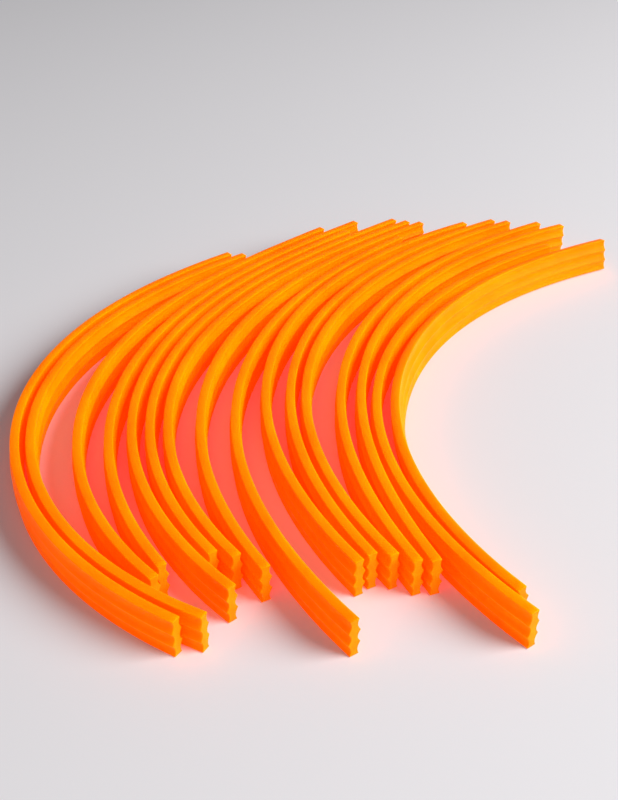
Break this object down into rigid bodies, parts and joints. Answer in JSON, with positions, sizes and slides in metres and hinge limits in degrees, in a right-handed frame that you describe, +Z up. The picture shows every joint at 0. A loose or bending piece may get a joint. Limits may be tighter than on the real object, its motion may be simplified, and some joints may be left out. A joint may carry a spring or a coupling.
{
  "type": "serrated trimmer strip fan",
  "caption": "Fan of loose, curved, serrated nylon cutting strips for a grass trimmer head, standing on edge side by side.",
  "frame": {"origin": "on the surface the strips stand on, in the middle of the footprint of the whole fan", "axes": "+Z up; +Y runs along the fan from the strips' near ends to their far ends; -X is the side the strips bulge towards"},
  "size_m": [0.2232, 0.2536, 0.0129],
  "materials": {
    "strip_nylon": "satin translucent fluorescent orange extruded nylon, with square-cut ends"
  },
  "bodies": {
    "strip_01": {"strip_01": "strip_nylon"},
    "strip_02": {"strip_02": "strip_nylon"},
    "strip_03": {"strip_03": "strip_nylon"},
    "strip_04": {"strip_04": "strip_nylon"},
    "strip_05": {"strip_05": "strip_nylon"},
    "strip_06": {"strip_06": "strip_nylon"},
    "strip_07": {"strip_07": "strip_nylon"},
    "strip_08": {"strip_08": "strip_nylon"},
    "strip_09": {"strip_09": "strip_nylon"},
    "strip_10": {"strip_10": "strip_nylon"},
    "strip_11": {"strip_11": "strip_nylon"},
    "strip_12": {"strip_12": "strip_nylon"},
    "strip_13": {"strip_13": "strip_nylon"},
    "strip_14": {"strip_14": "strip_nylon"},
    "strip_15": {"strip_15": "strip_nylon"},
    "strip_16": {"strip_16": "strip_nylon"}
  },
  "joints": [
    {"name": "strip_01_lift", "type": "slide", "parent": "strip_09", "child": "strip_01", "axis": [0, 0, 1], "range_m": [0, 0.03]},
    {"name": "strip_02_lift", "type": "slide", "parent": "strip_09", "child": "strip_02", "axis": [0, 0, 1], "range_m": [0, 0.03]},
    {"name": "strip_03_lift", "type": "slide", "parent": "strip_09", "child": "strip_03", "axis": [0, 0, 1], "range_m": [0, 0.03]},
    {"name": "strip_04_lift", "type": "slide", "parent": "strip_09", "child": "strip_04", "axis": [0, 0, 1], "range_m": [0, 0.03]},
    {"name": "strip_05_lift", "type": "slide", "parent": "strip_09", "child": "strip_05", "axis": [0, 0, 1], "range_m": [0, 0.03]},
    {"name": "strip_06_lift", "type": "slide", "parent": "strip_09", "child": "strip_06", "axis": [0, 0, 1], "range_m": [0, 0.03]},
    {"name": "strip_07_lift", "type": "slide", "parent": "strip_09", "child": "strip_07", "axis": [0, 0, 1], "range_m": [0, 0.03]},
    {"name": "strip_08_lift", "type": "slide", "parent": "strip_09", "child": "strip_08", "axis": [0, 0, 1], "range_m": [0, 0.03]},
    {"name": "strip_10_lift", "type": "slide", "parent": "strip_09", "child": "strip_10", "axis": [0, 0, 1], "range_m": [0, 0.03]},
    {"name": "strip_11_lift", "type": "slide", "parent": "strip_09", "child": "strip_11", "axis": [0, 0, 1], "range_m": [0, 0.03]},
    {"name": "strip_12_lift", "type": "slide", "parent": "strip_09", "child": "strip_12", "axis": [0, 0, 1], "range_m": [0, 0.03]},
    {"name": "strip_13_lift", "type": "slide", "parent": "strip_09", "child": "strip_13", "axis": [0, 0, 1], "range_m": [0, 0.03]},
    {"name": "strip_14_lift", "type": "slide", "parent": "strip_09", "child": "strip_14", "axis": [0, 0, 1], "range_m": [0, 0.03]},
    {"name": "strip_15_lift", "type": "slide", "parent": "strip_09", "child": "strip_15", "axis": [0, 0, 1], "range_m": [0, 0.03]},
    {"name": "strip_16_lift", "type": "slide", "parent": "strip_09", "child": "strip_16", "axis": [0, 0, 1], "range_m": [0, 0.03]}
  ]
}
